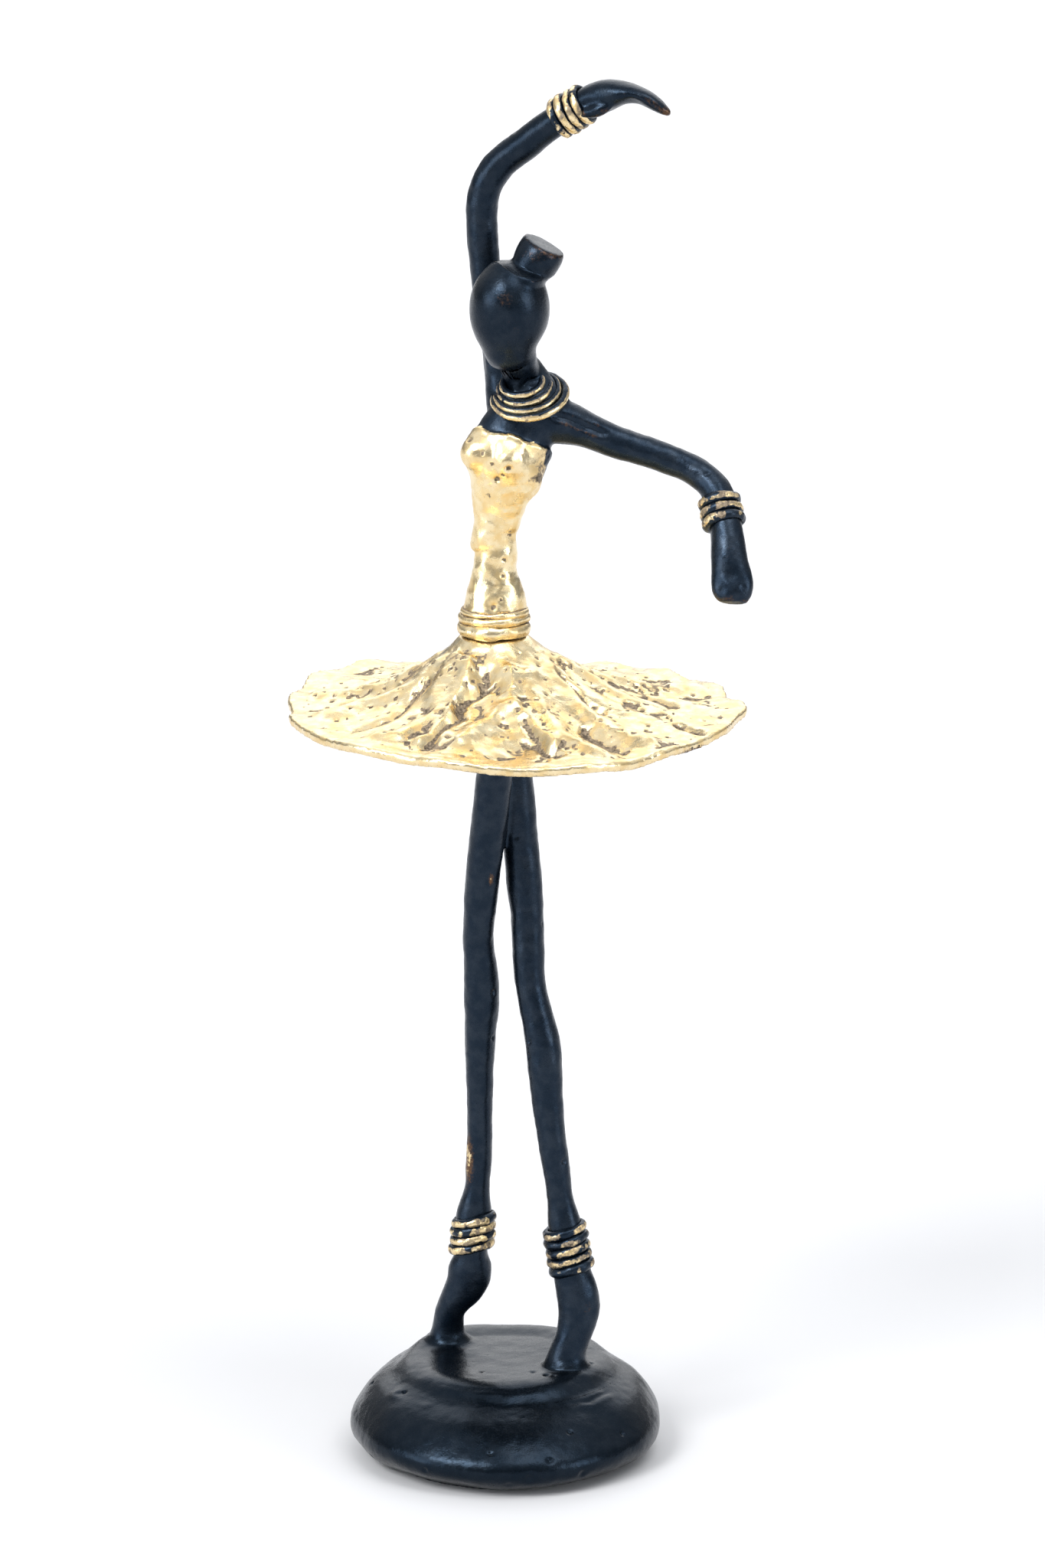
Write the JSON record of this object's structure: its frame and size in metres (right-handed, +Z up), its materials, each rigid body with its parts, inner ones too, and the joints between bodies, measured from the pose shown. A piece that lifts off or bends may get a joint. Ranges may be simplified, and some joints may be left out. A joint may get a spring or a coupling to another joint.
{
  "type": "bronze dancer statuette",
  "caption": "Slender cast bronze dancer on her toes on a round domed base, one arm raised, in a wide folded tutu, with wound bands at neck, waist, wrists and ankles.",
  "frame": {"origin": "middle of the overall footprint, at the level of the surface that the base stands on", "axes": "+Z up, towards the raised hand; -Y is the front of the figure; +X is towards the lowered left arm"},
  "size_m": [0.1316, 0.1286, 0.4009],
  "materials": {
    "dark_bronze": "satin blue-black patina on bronze, rubbed brown on edges",
    "polished_bronze": "polished golden bronze with dark patina left in folds and pits",
    "worn_bronze": "patinated bronze wire, rubbed to gold on its crests"
  },
  "bodies": {
    "root": {"abdomen": "polished_bronze", "base_dome": "dark_bronze", "base_step": "dark_bronze", "bodice": "polished_bronze", "collar_ring_1": "worn_bronze", "collar_ring_2": "worn_bronze", "collar_ring_3": "worn_bronze", "collar_ring_4": "worn_bronze", "hair_bun": "dark_bronze", "head": "dark_bronze", "hip_block": "dark_bronze", "left_anklet_1": "worn_bronze", "left_anklet_2": "worn_bronze", "left_anklet_3": "worn_bronze", "left_anklet_4": "worn_bronze", "left_anklet_5": "worn_bronze", "left_arm": "dark_bronze", "left_bracelet_1": "worn_bronze", "left_bracelet_2": "worn_bronze", "left_bracelet_3": "worn_bronze", "left_foot": "dark_bronze", "left_hand": "dark_bronze", "left_leg": "dark_bronze", "neck": "dark_bronze", "right_anklet_1": "worn_bronze", "right_anklet_2": "worn_bronze", "right_anklet_3": "worn_bronze", "right_anklet_4": "worn_bronze", "right_arm": "dark_bronze", "right_bracelet_1": "worn_bronze", "right_bracelet_2": "worn_bronze", "right_bracelet_3": "worn_bronze", "right_bracelet_4": "worn_bronze", "right_foot": "dark_bronze", "right_hand": "dark_bronze", "right_leg": "dark_bronze", "shoulder_yoke": "dark_bronze", "tutu_skirt": "polished_bronze", "waist_band_lower": "polished_bronze", "waist_band_middle": "polished_bronze", "waist_band_upper": "polished_bronze"}
  },
  "joints": []
}
